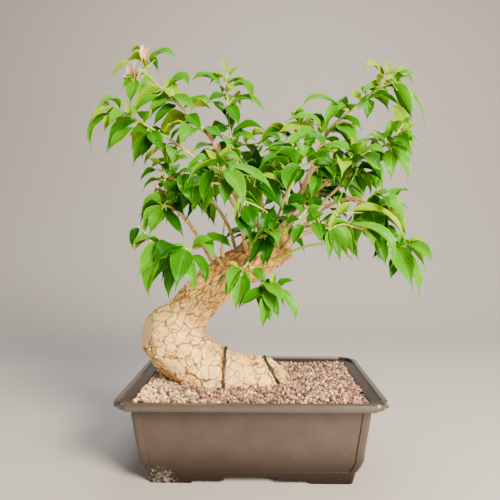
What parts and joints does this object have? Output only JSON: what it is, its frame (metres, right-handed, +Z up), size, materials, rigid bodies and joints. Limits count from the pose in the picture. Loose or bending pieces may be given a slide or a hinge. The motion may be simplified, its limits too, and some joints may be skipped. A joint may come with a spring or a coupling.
{
  "type": "bougainvillea pre-bonsai in a training pot",
  "caption": "Young bougainvillea grown for bonsai: a stout bent trunk with flaky bark, slender boughs and leafy shoots, in a rectangular plastic tray filled with gravel.",
  "frame": {"origin": "middle of the underside of the whole plant's bounding box, on the table that the pot stands on", "axes": "+Z up, -Y towards the viewer of the picture, +X to the viewer's right, along the pot's long side"},
  "size_m": [0.4232, 0.2784, 0.5243],
  "materials": {
    "pot_plastic": "satin dark brown moulded plastic with a fine grain",
    "gravel": "dry pinkish-grey stone chips",
    "bark": "flaky pale tan bark, rough",
    "green_shoot": "smooth yellow-green new growth",
    "wire_coating": "black coated training wire",
    "leaf": "glossy bright green leaves"
  },
  "bodies": {
    "root": {"bough_back_left": "bark", "bough_back_low": "bark", "bough_back_low_right": "bark", "bough_back_right": "bark", "bough_back_top": "bark", "bough_centre": "bark", "bough_collar": "bark", "bough_droop_right": "bark", "bough_front": "bark", "bough_front_right": "bark", "bough_hanging": "bark", "bough_inner_far": "bark", "bough_inner_left": "bark", "bough_inner_right": "bark", "bough_left": "bark", "bough_left_arm": "bark", "bough_left_spur": "bark", "bough_low_right": "bark", "bough_lower_left": "bark", "bough_right": "bark", "bough_right_front": "bark", "bough_right_middle": "bark", "bough_right_outer": "bark", "bough_right_top": "bark", "foliage_back_left": "leaf", "foliage_back_low": "leaf", "foliage_back_low_right": "leaf", "foliage_back_right": "leaf", "foliage_back_top": "leaf", "foliage_collar": "leaf", "foliage_droop_right": "leaf", "foliage_front": "leaf", "foliage_front_right": "leaf", "foliage_hanging": "leaf", "foliage_inner_far": "leaf", "foliage_inner_left": "leaf", "foliage_inner_right": "leaf", "foliage_left_arm": "leaf", "foliage_left_spur": "leaf", "foliage_low_right": "leaf", "foliage_lower_left": "leaf", "foliage_right_centre": "leaf", "foliage_right_middle": "leaf", "foliage_right_outer": "leaf", "foliage_right_top": "leaf", "foliage_top": "leaf", "foliage_upper_left": "leaf", "foliage_upper_right": "leaf", "gravel": "gravel", "green_shoot_low": "green_shoot", "green_shoot_upright": "green_shoot", "pot": "pot_plastic", "tie_wire_left": "wire_coating", "tie_wire_right": "wire_coating", "trunk": "bark"}
  },
  "joints": []
}
